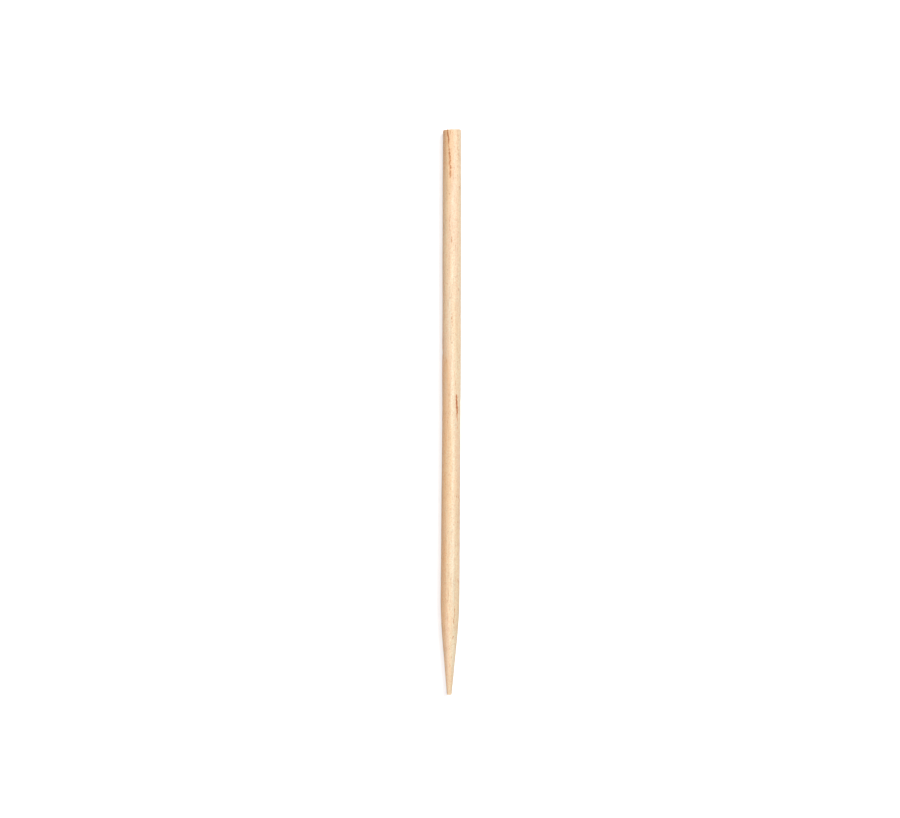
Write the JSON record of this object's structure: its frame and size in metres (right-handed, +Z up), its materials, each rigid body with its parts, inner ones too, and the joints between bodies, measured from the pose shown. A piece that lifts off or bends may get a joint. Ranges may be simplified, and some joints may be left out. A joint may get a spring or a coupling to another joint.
{
  "type": "wooden skewer",
  "caption": "Round pale wooden skewer, sawn square at one end and sharpened to a blunt tip at the other.",
  "frame": {"origin": "on the table, below the middle of the skewer's length", "axes": "+Y along the skewer from the tip to the sawn end, +Z up from the table it lies on"},
  "size_m": [0.0048, 0.15, 0.0049],
  "materials": {
    "wood": "bare sanded birch, pale cream with a straight fine grain"
  },
  "bodies": {
    "root": {"skewer": "wood"}
  },
  "joints": []
}
